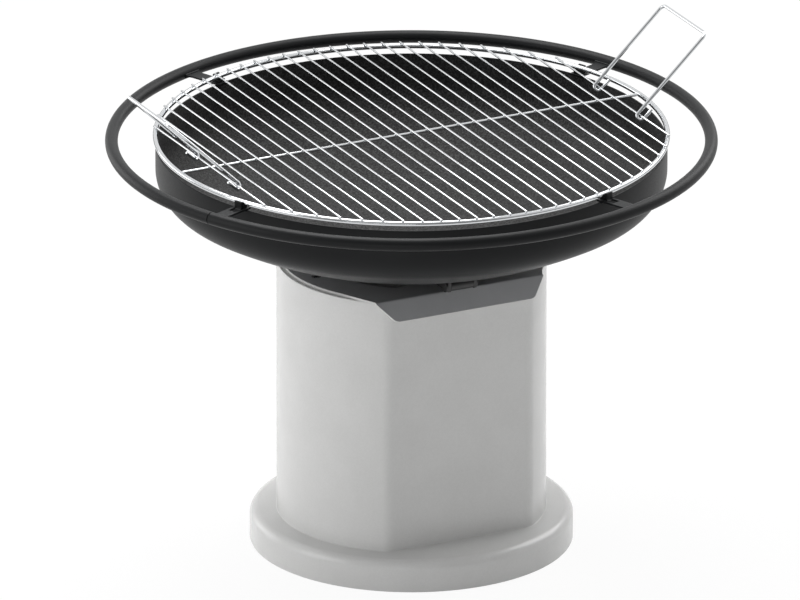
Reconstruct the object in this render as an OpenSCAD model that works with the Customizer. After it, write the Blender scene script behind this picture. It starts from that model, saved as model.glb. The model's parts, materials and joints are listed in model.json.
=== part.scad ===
// Outdoor grill: a steel fire bowl with a ring rail, a lift-off grid and two folding bail
// handles, hinged on a cast concrete pedestal so that it tips forward to be emptied.
// Millimetres, +Z up. The origin is on the ground, on the bowl's axis. The flat front faces -Y.

/* [Concrete pedestal] */
// Radius of the round plinth
plinth_r = 252; // [235:1:300]
// Height of the plinth
plinth_h = 50; // [35:1:80]
// Rounding of the plinth's upper edge
plinth_edge_r = 14; // [4:1:20]
// Radius of the round part of the column
column_r = 210; // [200:1:220]
// Height of the column above the plinth
column_h = 411; // [300:1:600]
// Distance from the axis to the column's flat front
flat_y = 170; // [160:1:180]
// Rounding between the flat front and the round part
crease_r = 28; // [15:1:40]
// Chamfer round the column's top
chamfer = 2; // [1:0.5:4]
// Chamfer along the top of the flat front, behind the apron
front_chamfer = 6; // [5:0.5:8]
// Wall between the hollow and the round part
wall_round = 60; // [50:1:80]
// Wall between the hollow and the flat front
wall_flat = 49; // [36:1:60]

/* [Top plate] */
// Thickness of the plate
plate_t = 4; // [4:0.5:8]
// How far the plate's edge stays inside the column's
plate_inset = 7; // [4:0.5:9]
// How far the two folded corners stand out past the plate's round edge
fold_corner = 16.8; // [8:0.2:22]
// How far the bend's centre stays inside the flat front
fold_inset = 4; // [3:0.5:5]
// Inside radius of the bend
bend_r = 1; // [1:0.5:2]
// Lean of the apron from the vertical, in degrees
apron_lean = 37; // [25:1:50]
// Length of the apron below its bend
apron_l = 33; // [25:1:50]
// How much the apron narrows on each side
apron_taper = 25; // [10:1:40]
// Rounding of the apron's lower corners
apron_corner_r = 13; // [4:1:16]

/* [Plate screws and their sleeves] */
// Radius of the screw's shank
screw_r = 4; // [3:0.5:5]
// Radius of the countersunk head
screw_head_r = 7.5; // [6:0.5:9]
// Depth of the countersunk head
screw_head_h = 3.5; // [2.5:0.1:3.8]
// Length of the screw under its head
screw_l = 26; // [18:1:40]
// Outer radius of the threaded sleeve cast into the concrete
sleeve_r = 7; // [6.5:0.5:9]
// Length of the sleeve
sleeve_l = 40; // [32:1:60]

/* [Tipping hinge] */
// Radius of the hinge pin
pin_r = 5; // [4:0.5:6]
// Running clearance round the pin
pin_fit = 0.05; // [0.02:0.01:0.08]
// Height of the pin above the plate
pin_h = 8; // [8:0.5:10]
// How far the pin stands in front of the bend's centre
pin_front = 6; // [5:0.5:7]
// Outer radius of the fixed knuckle
knuckle_r = 7.5; // [7:0.25:7.5]
// Length of the knuckle along the pin
knuckle_w = 38.4; // [30:0.4:60]
// Length of the knuckle's web along the plate
knuckle_web = 36; // [25:1:45]
// Height of the web at its rear end
knuckle_web_h = 6; // [4:0.5:8]
// Thickness of each hinge ear
ear_t = 5; // [4:0.5:8]
// How far the ears reach in front of the pin
ear_nose = 7; // [6:0.1:7.5]
// Length of the ears along the plate
ear_l = 74; // [60:1:90]
// Rounding of the ear's lower front corner
ear_corner_r = 3; // [3:0.25:5]
// Gap between the ears and the plate
ear_gap = 0.5; // [0.5:0.1:1]
// Gap between the ears and the pieces beside them
side_gap = 0.3; // [0.2:0.1:0.6]
// Radius of the pin's head
pin_head_r = 8; // [7:0.25:8]
// Thickness of the pin's head
pin_head_t = 3; // [2:0.5:5]
// Thickness of the retaining ring
clip_t = 1; // [0.8:0.1:1.5]
// Radial width of the retaining ring
clip_w = 2.2; // [1.5:0.1:2.5]
// Depth of the pin's groove
groove_depth = 0.3; // [0.2:0.1:0.6]

/* [Rear rests] */
// Angle of each rest from the back, in degrees
rest_angle = 35; // [28:1:45]
// Radius of the posts under the bowl
post_r = 10; // [8:0.5:14]
// Radius of the rubber buffers
buffer_r = 13; // [10:0.5:16]
// Height of the buffers above the plate
buffer_h = 4; // [3:0.5:6]
// Radius of the buffers' stems
buffer_stem_r = 3.5; // [2.5:0.5:5]
// Gap between a post and its buffer
rest_gap = 0.3; // [0.2:0.1:0.5]

/* [Fire bowl] */
// Outer radius of the bowl
bowl_r = 397; // [385:1:410]
// Thickness of the bowl's wall
bowl_wall = 3; // [2:0.5:5]
// Height of the bowl
bowl_depth = 184.5; // [175:0.5:220]
// Outer radius of the dished bottom
crown_r = 765; // [700:5:800]
// Outer radius between the dished bottom and the straight wall
bowl_knuckle_r = 55; // [45:1:65]
// Gap between the bowl and the top plate
bowl_gap = 2.5; // [2:0.5:4]

/* [Ring rail and brackets] */
// Clear gap between the bowl and the rail
rail_gap = 58; // [50:1:72]
// Radius of the rail's tube
rail_tube_r = 10; // [8:0.5:12]
// Angle of the first bracket from +X, in degrees
bracket_angle = 22.5; // [15:0.5:30]
// Thickness of the brackets
bracket_t = 3; // [3:0.5:5]
// Width of the brackets
bracket_w = 22; // [20:1:30]
// How far the brackets reach inside the bowl's edge
bracket_in = 9; // [7:0.5:14]
// Radius of the concave flare where a bracket meets the rail
flare_r = 12; // [6:1:14]
// Gap between the bowl's edge and the tab's bend
tab_start = 4.5; // [4:0.5:8]
// Inside radius of the tab's bend
tab_bend_r = 1.5; // [1:0.5:2.5]
// Length of the window behind the tab
window_l = 14; // [10:1:18]
// Width of the tab and its window
tab_w = 13; // [10:1:15]
// Height of the tab above the bracket
tab_h = 12; // [9:0.5:14]

/* [Grid] */
// Clearance between the grid's ring and the tabs round it
grid_fit = 2; // [1:0.5:3]
// Radius of the ring's wire
grid_ring_wire_r = 4; // [3:0.25:5]
// Least distance from the ring to the outermost wires
wire_margin = 45; // [35:1:60]
// Distance between the wires
wire_pitch = 26.8; // [24:0.2:27]
// Radius of the wires
wire_r = 1.6; // [1.4:0.1:2]
// How far the wires reach past the ring's centreline
wire_past = 3; // [1:0.5:4]
// Radius of the crossbar under the wires
crossbar_r = 2.5; // [2:0.25:3]
// Height of the seats that carry the ring above the brackets
seat_h = 4.7; // [3:0.1:6]
// Length of each seat along the bracket
seat_l = 10; // [8:0.5:12]
// Gap between the ring and its seats
seat_gap = 0.3; // [0.2:0.1:0.5]

/* [Bail handles] */
// Radius of the handle's wire
handle_wire_r = 2.75; // [2.5:0.25:3.25]
// Rise of the open handles above the horizontal, in degrees
handle_rise = 43.6; // [35:0.1:55]
// Distance from the hinge wire to the grip
handle_l = 163; // [140:1:180]
// Distance between the handle's legs
handle_w = 147; // [120:1:170]
// How far the handle's middle sits towards the front
handle_front = 21.5; // [10:0.5:30]
// Rounding at the grip's ends
handle_corner_r = 9; // [7:0.5:20]
// Gap between the handle's eye and the wire it turns on
eye_gap = 0.3; // [0.3:0.05:0.5]
// Slant of the eye along the wire, in degrees
eye_slant = 40; // [38:1:48]
// Length of the tail past the eye
tail_l = 19; // [12:1:24]

/* [Hidden] */
$fn = 96;

// Overshoot of a cutting tool past the face that it opens
over = 1;
// Full ring of four brackets
QUARTER = 90;

// Pedestal
column_top = plinth_h + column_h;
cavity_r = column_r - wall_round;
cavity_y = flat_y - wall_flat;
crease_y = flat_y - crease_r;
crease_x = sqrt(pow(column_r - crease_r, 2) - pow(crease_y, 2));
crease_angle = atan2(-crease_y, crease_x);

// Top plate
plate_top = column_top + plate_t;
plate_r = column_r - plate_inset;
bend_y = flat_y - fold_inset;
apron_bend = 90 - apron_lean;
fold_x = sqrt(pow(plate_r + fold_corner, 2) - pow(bend_y, 2));
fold_tangent = atan2(-bend_y, fold_x) + acos(plate_r / (plate_r + fold_corner));

// Screws in the middle of the round wall, clear of the rests and the front
wall_mid_r = (cavity_r + plate_r) / 2;
screw_angles = [-7, 77, 103, 187];
socket_r = screw_r * 0.72;
socket_depth = screw_head_h * 0.7;

// Hinge: pin centre, ears, head and retaining ring along X
pin_y = -(bend_y + pin_front);
pin_z = plate_top + pin_h;
ear_in = knuckle_w / 2 + side_gap;
ear_out = ear_in + ear_t;
pin_shoulder = ear_out + side_gap;
groove_r = pin_r - groove_depth;
pin_end = pin_shoulder + 3 * clip_t;
clip_opening = 50;

// Bowl, from the crown's centre on the axis and the knuckle's centre in the profile
bowl_bottom = plate_top + bowl_gap;
rim_z = bowl_bottom + bowl_depth;
crown_z = bowl_bottom + crown_r;
knuckle_x = bowl_r - bowl_knuckle_r;
crown_to_knuckle = crown_r - bowl_knuckle_r;
knuckle_z = crown_z - sqrt(pow(crown_to_knuckle, 2) - pow(knuckle_x, 2));
knuckle_angle = asin(knuckle_x / crown_to_knuckle);

// Brackets lie on the rim, the rail's centre is level with their top
bracket_top = rim_z + bracket_t;
rail_z = bracket_top;
rail_in = bowl_r + rail_gap;
rail_r = rail_in + rail_tube_r;
tab_root = bowl_r + tab_start;
tab_r = tab_root + tab_bend_r;
window_end = tab_r + bracket_t + window_l;

// Grid, from the tabs inwards and from the seats upwards
grid_r = tab_r - grid_fit - grid_ring_wire_r;
wires_per_side = floor((grid_r - wire_margin) / wire_pitch);
ring_z = bracket_top + seat_h + seat_gap + grid_ring_wire_r;
wire_z = ring_z + grid_ring_wire_r + wire_r;
crossbar_z = wire_z - wire_r - crossbar_r;
outer_wire_x = wires_per_side * wire_pitch;

// Handle eye: a half turn of wire round the outermost grid wire, slanted along it
eye_side = wire_r + handle_wire_r + eye_gap;
eye_r = eye_side / cos(eye_slant);
eye_shift = eye_r * sin(eye_slant);

function unit(v) = v / norm(v);

// Tangent point, centre and tangent point of a rounded corner p between its neighbours a and b
function corner(p, a, b, r) =
    let (da = unit(a - p), db = unit(b - p), half = acos(da * db) / 2)
    r == 0 ? [p] : [p + da * r / tan(half), p + unit(da + db) * r / sin(half), p + db * r / tan(half)];

// Convex outline whose corners are true arcs
module rounded_polygon(points, radii) {
    n = len(points);
    corners = [for (i = [0:n - 1])
        corner(points[i], points[(i + n - 1) % n], points[(i + 1) % n], radii[i])];
    polygon([for (c = corners) each c]);
    for (i = [0:n - 1])
        if (radii[i] > 0)
            translate(corners[i][1])
                circle(r = radii[i]);
}

// A profile drawn in Y and Z, w wide and centred on X
module across(w) {
    rotate([90, 0, 90])
        linear_extrude(w, center = true)
            children();
}

// A straight rod from the origin along Z
module rod(r, l) {
    cylinder(r = r, h = l);
}

// Round outline of radius r, cut off flat at -y
module flatted_circle(r, y) {
    intersection() {
        circle(r = r);
        translate([-r - over, -y])
            square([2 * (r + over), r + y + over]);
    }
}

// Column's outline: a circle with a flat front and rounded creases
module column_outline() {
    reach = 2 * column_r;
    ray = reach * [cos(crease_angle), sin(crease_angle)];
    intersection() {
        circle(r = column_r);
        polygon([ray, [crease_x, -crease_y], [crease_x, -flat_y], [-crease_x, -flat_y],
                 [-crease_x, -crease_y], [-ray.x, ray.y], [-reach, reach], [reach, reach]]);
    }
    for (side = [-1, 1])
        translate([side * crease_x, -crease_y])
            circle(r = crease_r);
}

// Corner that a chamfer takes off, its x measured outwards from the column's wall
module chamfer_profile(c) {
    polygon([[-c - over, column_top + over], [over, column_top + over],
             [over, column_top - c - over]]);
}

// Chamfers of the round part and of the flat front, which run into each other on the creases
module top_chamfer() {
    rotate_extrude()
        translate([column_r, 0])
            chamfer_profile(chamfer);
    translate([column_r, -flat_y, 0])
        rotate([90, 0, -90])
            linear_extrude(2 * column_r)
                chamfer_profile(front_chamfer);
}

module plinth_profile() {
    square([plinth_r - plinth_edge_r, plinth_h]);
    square([plinth_r, plinth_h - plinth_edge_r]);
    translate([plinth_r - plinth_edge_r, plinth_h - plinth_edge_r])
        circle(r = plinth_edge_r);
}

// Places its child at each fixing screw, on the column's top
module at_screws() {
    for (a = screw_angles)
        rotate([0, 0, a])
            translate([wall_mid_r, 0, column_top])
                children();
}

// Places its child at each rear rest, on the plate
module at_rests() {
    for (side = [-1, 1])
        rotate([0, 0, 90 + side * rest_angle])
            translate([wall_mid_r, 0, plate_top])
                children();
}

module concrete_pedestal() color("#d3d1cb") {
    difference() {
        union() {
            rotate_extrude()
                plinth_profile();
            linear_extrude(column_top)
                column_outline();
        }
        top_chamfer();
        translate([0, 0, -over])
            linear_extrude(column_top + 2 * over)
                flatted_circle(cavity_r, cavity_y);
        at_screws()
            translate([0, 0, -sleeve_l])
                cylinder(r = sleeve_r, h = sleeve_l + over);
    }
}

module screw_sleeves() color("#8d9093")
    at_screws()
        translate([0, 0, -sleeve_l])
            difference() {
                cylinder(r = sleeve_r, h = sleeve_l);
                translate([0, 0, sleeve_l - screw_l])
                    cylinder(r = screw_r, h = screw_l + over);
            }

// Countersunk screw head, its shank running down from the plate's underside
module screw_shape(r, head_r, head_h, l) {
    translate([0, 0, plate_t - head_h])
        cylinder(r1 = r, r2 = head_r, h = head_h);
    translate([0, 0, -l])
        cylinder(r = r, h = l + plate_t - head_h);
}

module plate_outline() {
    intersection() {
        union() {
            circle(r = plate_r);
            polygon([plate_r * [cos(fold_tangent), sin(fold_tangent)], [fold_x, -bend_y],
                     [-fold_x, -bend_y], [-plate_r * cos(fold_tangent), plate_r * sin(fold_tangent)]]);
        }
        translate([-2 * plate_r, -bend_y])
            square([4 * plate_r, 4 * plate_r]);
    }
}

// Apron laid flat, running from the bend towards -Y
module apron_outline() {
    lower = fold_x - apron_taper;
    rounded_polygon([[-fold_x, over], [-fold_x, 0], [-lower, -apron_l], [lower, -apron_l],
                     [fold_x, 0], [fold_x, over]],
                    [0, 0, apron_corner_r, apron_corner_r, 0, 0]);
}

// Region under one face of the folded sheet, in Y and Z from the bend's centre. It reaches
// back y behind the bend and l down the apron, and d below the face at the apron's end.
module under_sheet(face_r, back, l, d) {
    down = -[cos(apron_bend), sin(apron_bend)];
    inwards = [sin(apron_bend), -cos(apron_bend)];
    knee = face_r * [-tan(apron_bend / 2), 1];
    end = -face_r * inwards + l * down;
    rounded_polygon([[back, face_r], knee, end, end + d * inwards, [back, end.y + d * inwards.y]],
                    [0, face_r, 0, 0, 0]);
}

// Bend and apron as one strip, with the apron's sides and corners cut afterwards
module folded_apron() {
    reach = 2 * apron_l;
    difference() {
        across(2 * fold_x)
            difference() {
                under_sheet(bend_r + plate_t, plate_t, apron_l, 2 * plate_t);
                under_sheet(bend_r, reach, reach, reach);
            }
        rotate([apron_bend, 0, 0])
            linear_extrude(2 * (bend_r + plate_t))
                difference() {
                    translate([-fold_x - over, -apron_l - over])
                        square([2 * (fold_x + over), apron_l + over]);
                    apron_outline();
                }
    }
}

module top_plate() color("#3d3f40") {
    difference() {
        union() {
            translate([0, 0, column_top])
                linear_extrude(plate_t)
                    plate_outline();
            translate([0, -bend_y, column_top - bend_r])
                folded_apron();
        }
        translate([0, 0, column_top - over])
            linear_extrude(plate_t + 2 * over)
                flatted_circle(cavity_r, cavity_y);
        at_screws()
            screw_shape(screw_r, screw_head_r, screw_head_h, over);
        at_rests()
            translate([0, 0, -plate_t - over])
                cylinder(r = buffer_stem_r, h = plate_t + 2 * over);
    }
}

module plate_screws() color("#1c1d1e")
    at_screws()
        difference() {
            screw_shape(screw_r, screw_head_r, screw_head_h, screw_l);
            translate([0, 0, plate_t - socket_depth])
                cylinder(r = socket_r, h = socket_depth + over, $fn = 6);
        }

// Fixed knuckle: a bored barrel with a web welded along the plate
module hinge_knuckle() color("#1f2021") {
    across(knuckle_w)
        difference() {
            union() {
                translate([pin_y, pin_z])
                    circle(r = knuckle_r);
                polygon([[-bend_y, plate_top], [pin_y + knuckle_web, plate_top],
                         [pin_y + knuckle_web, plate_top + knuckle_web_h],
                         [pin_y, pin_z + knuckle_r], [pin_y, pin_z]]);
            }
            translate([pin_y, pin_z])
                circle(r = pin_r + pin_fit);
        }
}

// Pin with a flat head on the left and a groove for the retaining ring on the right
module hinge_pin() color("#6f7377")
    translate([-pin_shoulder, pin_y, pin_z])
        rotate([0, 90, 0])
            difference() {
                union() {
                    rod(pin_r, pin_shoulder + pin_end);
                    translate([0, 0, -pin_head_t])
                        rod(pin_head_r, pin_head_t);
                }
                translate([0, 0, 2 * pin_shoulder])
                    difference() {
                        cylinder(r = pin_r + over, h = clip_t);
                        cylinder(r = groove_r, h = clip_t);
                    }
            }

// Open ring snapped into the pin's groove
module pin_retaining_ring() color("#25272a")
    translate([pin_shoulder, pin_y, pin_z])
        rotate([0, 90, 0])
            rotate([0, 0, clip_opening / 2])
                rotate_extrude(angle = 360 - clip_opening)
                    translate([groove_r, 0])
                        square([clip_w, clip_t]);

module rest_buffers() color("#141414")
    at_rests() {
        rod(buffer_r, buffer_h);
        translate([0, 0, -plate_t])
            rod(buffer_stem_r, plate_t);
    }

// The dished bottom as a filled solid, to cope the pieces welded under it
module bowl_solid() {
    rotate_extrude($fn = 180)
        intersection() {
            translate([0, crown_z])
                circle(r = crown_r, $fn = 360);
            square([knuckle_x, rim_z]);
        }
}

// Stretch of the bowl's wall bent to radius r about c, from angle a to angle b
module wall_arc(c, r, a, b) {
    reach = 2 * r;
    intersection() {
        translate(c)
            difference() {
                circle(r = r, $fn = 360);
                circle(r = r - bowl_wall, $fn = 360);
            }
        polygon([c, c + reach * [cos(a), sin(a)], c + reach * [1, -1], c + reach * [cos(b), sin(b)]]);
    }
}

module fire_bowl() color("#2b2c2d")
    rotate_extrude($fn = 180) {
        wall_arc([0, crown_z], crown_r, -90, knuckle_angle - 90);
        wall_arc([knuckle_x, knuckle_z], bowl_knuckle_r, knuckle_angle - 90, 0);
        translate([bowl_r - bowl_wall, knuckle_z])
            square([bowl_wall, rim_z - knuckle_z]);
    }

module ring_rail() color("#2b2c2d")
    translate([0, 0, rail_z])
        rotate_extrude($fn = 180)
            translate([rail_r, 0])
                circle(r = rail_tube_r, $fn = 32);

// Bent tab in X and Z, from its bend's centre
module tab_profile() {
    outer_r = tab_bend_r + bracket_t;
    intersection() {
        difference() {
            circle(r = outer_r);
            circle(r = tab_bend_r);
        }
        translate([0, -2 * outer_r])
            square(2 * outer_r);
    }
    translate([tab_bend_r, 0])
        square([bracket_t, tab_h - tab_bend_r]);
}

// Bracket from the bowl's rim to the rail, with a tab bent up out of its window
module bracket(index) color("#3a3b3c") {
    flare_x = rail_in - flare_r + over;
    flare_y = bracket_w / 2 + flare_r;
    rotate([0, 0, bracket_angle + index * QUARTER]) {
        translate([0, 0, rim_z])
            linear_extrude(bracket_t)
                difference() {
                    intersection() {
                        circle(r = rail_in, $fn = 360);
                        union() {
                            translate([bowl_r - bracket_in, -bracket_w / 2])
                                square([rail_gap + bracket_in + over, bracket_w]);
                            difference() {
                                translate([flare_x, -flare_y])
                                    square([flare_r, 2 * flare_y]);
                                for (side = [-1, 1])
                                    translate([flare_x, side * flare_y])
                                        circle(r = flare_r);
                            }
                        }
                    }
                    translate([tab_root, -tab_w / 2])
                        square([window_end - tab_root, tab_w]);
                }
        translate([tab_root, 0, bracket_top + tab_bend_r])
            rotate([90, 0, 0])
                linear_extrude(tab_w, center = true)
                    tab_profile();
    }
}

// Small blocks on the brackets, behind the tabs, that carry the grid's ring
module grid_seats() color("#3a3b3c")
    for (index = [0:3])
        rotate([0, 0, bracket_angle + index * QUARTER])
            translate([tab_root - seat_l, -tab_w / 2, bracket_top])
                cube([seat_l, tab_w, seat_h]);

// Upright ear welded under the bowl, coped to its curve and bored for the pin
module hinge_ear(side) color("#1f2021") {
    front = pin_y - ear_nose;
    foot = plate_top + ear_gap;
    difference() {
        translate([side * (ear_in + ear_t / 2), 0, 0])
            across(ear_t)
                difference() {
                    rounded_polygon([[front, foot], [front + ear_l, foot],
                                     [front + ear_l, knuckle_z], [front, knuckle_z]],
                                    [ear_corner_r, 0, 0, 0]);
                    translate([pin_y, pin_z])
                        circle(r = pin_r + pin_fit);
                }
        bowl_solid();
    }
}

module rest_posts() color("#1f2021")
    difference() {
        at_rests()
            translate([0, 0, buffer_h + rest_gap])
                rod(post_r, knuckle_z - plate_top);
        bowl_solid();
    }

module grid_ring() color("#c4c6c8")
    translate([0, 0, ring_z])
        rotate_extrude($fn = 180)
            translate([grid_r, 0])
                circle(r = grid_ring_wire_r, $fn = 32);

// Straight wires on top of the ring, each cut to the ring's round outline
module grid_wires() color("#c4c6c8")
    for (i = [-wires_per_side:wires_per_side]) {
        x = i * wire_pitch;
        half = sqrt(pow(grid_r + wire_past, 2) - pow(x, 2));
        translate([x, half, wire_z])
            rotate([90, 0, 0])
                cylinder(r = wire_r, h = 2 * half, $fn = 24);
    }

module grid_crossbar() color("#c4c6c8")
    translate([-(grid_r - grid_ring_wire_r), 0, crossbar_z])
        rotate([0, 90, 0])
            cylinder(r = crossbar_r, h = 2 * (grid_r - grid_ring_wire_r), $fn = 32);

// The handle's wire is followed along Z: a run goes straight on, a bend curves towards X,
// a turn rolls the bending plane round the wire, and each then carries what comes next
module run(l) {
    rod(handle_wire_r, l);
    translate([0, 0, l])
        children();
}

module bend(r, angle) {
    translate([r, 0, 0]) {
        rotate([90, 0, 180])
            rotate_extrude(angle = angle)
                translate([r, 0])
                    circle(r = handle_wire_r, $fn = 32);
        rotate([0, angle, 0])
            translate([-r, 0, 0])
                children();
    }
}

module turn(angle) {
    rotate([0, 0, angle])
        children();
}

// One bent wire from tail to tail, with the hinge wire along X and the legs running up Z
module bail() {
    leg_l = handle_l - handle_corner_r;
    grip_l = handle_w - 2 * handle_corner_r;
    translate([handle_w / 2 - 2 * eye_shift, -eye_side, tail_l])
        rotate([180, 0, 0])
            turn(eye_slant - 90) run(tail_l) bend(eye_r, 180) run(leg_l)
            turn(eye_slant - 90) bend(handle_corner_r, 90) run(grip_l) bend(handle_corner_r, 90)
            run(leg_l) turn(eye_slant + 90) bend(eye_r, 180) run(tail_l);
}

// Handle hooked round an outermost grid wire and leaning outwards
module handle_right() color("#c4c6c8")
    translate([outer_wire_x, -handle_front, wire_z])
        rotate([0, 90 - handle_rise, 0])
            rotate([0, 0, 90])
                bail();

module handle_left()
    mirror([1, 0, 0])
        handle_right();

concrete_pedestal();
screw_sleeves();
top_plate();
plate_screws();
hinge_knuckle();
hinge_pin();
pin_retaining_ring();
rest_buffers();
fire_bowl();
ring_rail();
bracket(0);  // bracket_back_right
bracket(1);  // bracket_back_left
bracket(2);  // bracket_front_left
bracket(3);  // bracket_front_right
grid_seats();
hinge_ear(-1);  // hinge_ear_left
hinge_ear(1);  // hinge_ear_right
rest_posts();
grid_ring();
grid_wires();
grid_crossbar();
handle_left();
handle_right();
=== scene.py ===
"""Fire bowl grill on a cast concrete pedestal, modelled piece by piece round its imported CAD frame.

It is laid out as a Blender add-on and run as a script. Each operator makes one piece, or a group
of like pieces, at the place that the CAD gives it. All lengths are in metres.
"""

import json
from math import acos, asin, atan2, cos, degrees, pi, radians, sin, sqrt, tan

import bmesh
import bpy
from bpy.props import FloatProperty, FloatVectorProperty, IntProperty, PointerProperty
from mathutils import Matrix, Vector

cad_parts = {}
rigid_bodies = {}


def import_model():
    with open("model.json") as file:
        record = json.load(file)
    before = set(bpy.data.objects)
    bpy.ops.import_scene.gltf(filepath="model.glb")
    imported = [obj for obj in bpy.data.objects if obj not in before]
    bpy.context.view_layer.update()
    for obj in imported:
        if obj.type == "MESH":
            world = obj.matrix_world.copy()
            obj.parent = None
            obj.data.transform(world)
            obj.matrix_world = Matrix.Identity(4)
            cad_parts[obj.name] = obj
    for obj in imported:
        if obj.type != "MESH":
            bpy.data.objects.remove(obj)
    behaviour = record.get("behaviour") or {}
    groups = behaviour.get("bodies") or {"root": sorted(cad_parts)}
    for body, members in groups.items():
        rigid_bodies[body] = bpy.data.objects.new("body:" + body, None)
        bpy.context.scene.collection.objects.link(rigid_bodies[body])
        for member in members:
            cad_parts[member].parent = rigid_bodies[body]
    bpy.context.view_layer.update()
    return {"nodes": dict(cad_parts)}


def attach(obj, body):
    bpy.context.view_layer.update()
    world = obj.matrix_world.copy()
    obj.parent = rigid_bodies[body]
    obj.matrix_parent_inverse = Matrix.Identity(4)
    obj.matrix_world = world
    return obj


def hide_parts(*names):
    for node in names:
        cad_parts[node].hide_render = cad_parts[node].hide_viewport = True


bl_info = {
    "name": "Fire bowl grill",
    "version": (1, 0, 0),
    "blender": (4, 5, 0),
    "location": "3D View > Sidebar > Fire bowl",
    "description": "Models a fire bowl grill on a cast concrete pedestal",
    "category": "Object",
}

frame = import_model()

MM = 0.001
UP = (0, 0, 1)
ALONG_X = (1, 0, 0)
ALONG_Y = (0, 1, 0)
WHITE = (1, 1, 1, 1)


def linear(hex_colour):
    """Turns an sRGB hex colour into the linear one that Blender works in."""
    channels = [int(hex_colour[i:i + 2], 16) / 255 for i in (1, 3, 5)]
    return [c / 12.92 if c <= 0.04045 else ((c + 0.055) / 1.055) ** 2.4 for c in channels]


def size(name, about, millimetres):
    """A length that a user can change."""
    return FloatProperty(name=name, description=about, default=millimetres * MM, min=0,
                         precision=4, unit="LENGTH")


def lean(name, about, value):
    """An angle that a user can change."""
    return FloatProperty(name=name, description=about, default=radians(value), unit="ROTATION")


def colour(name, about, hex_colour):
    """A colour that a user can change."""
    return FloatVectorProperty(name=name, description=about, default=linear(hex_colour),
                               min=0, max=1, subtype="COLOR")


class PedestalSizes(bpy.types.PropertyGroup):
    """Sizes of the concrete casting."""

    plinth_r: size("Plinth radius", "Radius of the round plinth", 252)
    plinth_h: size("Plinth height", "Height of the plinth", 50)
    plinth_edge: size("Plinth rounding", "Rounding of the plinth's upper edge", 14)
    column_r: size("Column radius", "Radius of the round part of the column", 210)
    top: size("Column top", "Height of the column's top above the ground", 461)
    flat: size("Flat front", "Distance from the axis to the flat front", 170)
    crease: size("Crease rounding", "Rounding between the flat front and the round part", 28)
    chamfer: size("Chamfer", "Chamfer round the column's top", 1.2)
    front_chamfer: size("Front chamfer", "Chamfer along the top of the flat front", 6)
    foot: size("Foot fillet", "Fillet between the column and the plinth", 1.5)
    well_r: size("Well radius", "Radius of the hollow inside", 150)
    well_flat: size("Well flat", "Distance from the axis to the hollow's flat front", 121)
    screw_circle: size("Screw circle", "Distance from the axis to the plate's screws", 176.5)
    sleeve_r: size("Sleeve radius", "Outer radius of the cast-in sleeves", 7)
    sleeve_l: size("Sleeve length", "Length of the cast-in sleeves", 40)


class PlateSizes(bpy.types.PropertyGroup):
    """Sizes of the folded top plate."""

    radius: size("Plate radius", "Radius of the plate's round edge", 203)
    thick: size("Thickness", "Thickness of the sheet", 4)
    fold_y: size("Fold", "Distance from the axis to the start of the bend", 166)
    fold_corner: size("Fold corners", "How far the folded corners stand past the round edge", 16.8)
    bend: size("Bend radius", "Inside radius of the bend", 1)
    apron_l: size("Apron length", "Length of the apron below its bend", 33)
    apron_taper: size("Apron taper", "How much the apron narrows on each side", 25)
    apron_corner: size("Apron corners", "Rounding of the apron's lower corners", 13)
    apron_lean: lean("Apron lean", "Lean of the apron from the vertical", 37)
    countersink: size("Countersink", "Radius of the countersunk screw holes", 7.6)
    hole: size("Screw hole", "Radius of the screw holes", 4)


class BowlSizes(bpy.types.PropertyGroup):
    """Sizes of the dished bowl."""

    radius: size("Bowl radius", "Outer radius of the bowl", 397)
    wall: size("Wall", "Thickness of the bowl's wall", 3)
    bottom: size("Bottom", "Height of the bowl's lowest point above the ground", 467.5)
    rim: size("Rim", "Height of the bowl's rim above the ground", 652)
    crown: size("Crown radius", "Outer radius of the dished bottom", 765)
    knuckle: size("Knuckle radius", "Outer radius between the bottom and the straight wall", 55)
    lip: size("Lip rounding", "Rounding of the rim's two edges", 1)


class RailSizes(bpy.types.PropertyGroup):
    """Sizes of the ring rail and its brackets."""

    radius: size("Rail radius", "Radius of the rail's centreline", 464.85)
    tube: size("Tube radius", "Radius of the rail's tube", 10)
    height: size("Rail height", "Height of the rail's centreline above the ground", 655)
    seam: lean("Seam", "Angle of the rail's butt weld from +X", 202.2)
    first: lean("First bracket", "Angle of the first bracket from +X", 22.5)
    thick: size("Bracket thickness", "Thickness of the brackets", 3)
    width: size("Bracket width", "Width of the brackets", 22)
    inside: size("Bracket overlap", "How far the brackets reach inside the bowl's edge", 9)
    flare: size("Flare", "Radius of the concave flare at the rail", 12)
    tab_start: size("Tab start", "Gap between the bowl's edge and the tab's bend", 4.5)
    tab_bend: size("Tab bend", "Inside radius of the tab's bend", 1.5)
    tab_w: size("Tab width", "Width of the tab", 13)
    tab_h: size("Tab height", "Height of the tab above the bracket", 12)
    window: size("Window", "Length of the window behind the tab", 14)
    seat_l: size("Seat length", "Length of the seats under the grid", 10)
    seat_h: size("Seat height", "Height of the seats under the grid", 4.7)
    bead: size("Weld bead", "Radius of the weld beads", 2)
    groove_w: size("Seam width", "Half the width of the groove at the rail's butt weld", 1.1)
    groove_d: size("Seam depth", "Depth of the groove at the rail's butt weld", 1.5)


class HingeSizes(bpy.types.PropertyGroup):
    """Sizes of the two ears that the bowl tips on."""

    pin_y: size("Pin distance", "Distance from the axis to the pin, towards the front", 172)
    pin_z: size("Pin height", "Height of the pin above the ground", 473)
    pin_r: size("Pin hole", "Radius of the ears' pin hole", 5.05)
    inner: size("Ear place", "Distance from the middle to the ears' inner faces", 19.5)
    thick: size("Ear thickness", "Thickness of each ear", 5)
    nose: size("Nose", "How far the ears reach in front of the pin", 7)
    length: size("Ear length", "Length of the ears along the plate", 74)
    foot: size("Ear foot", "Height of the ears' lower edge above the ground", 465.5)
    corner: size("Ear corner", "Rounding of the ears' lower front corner", 3)


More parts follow.
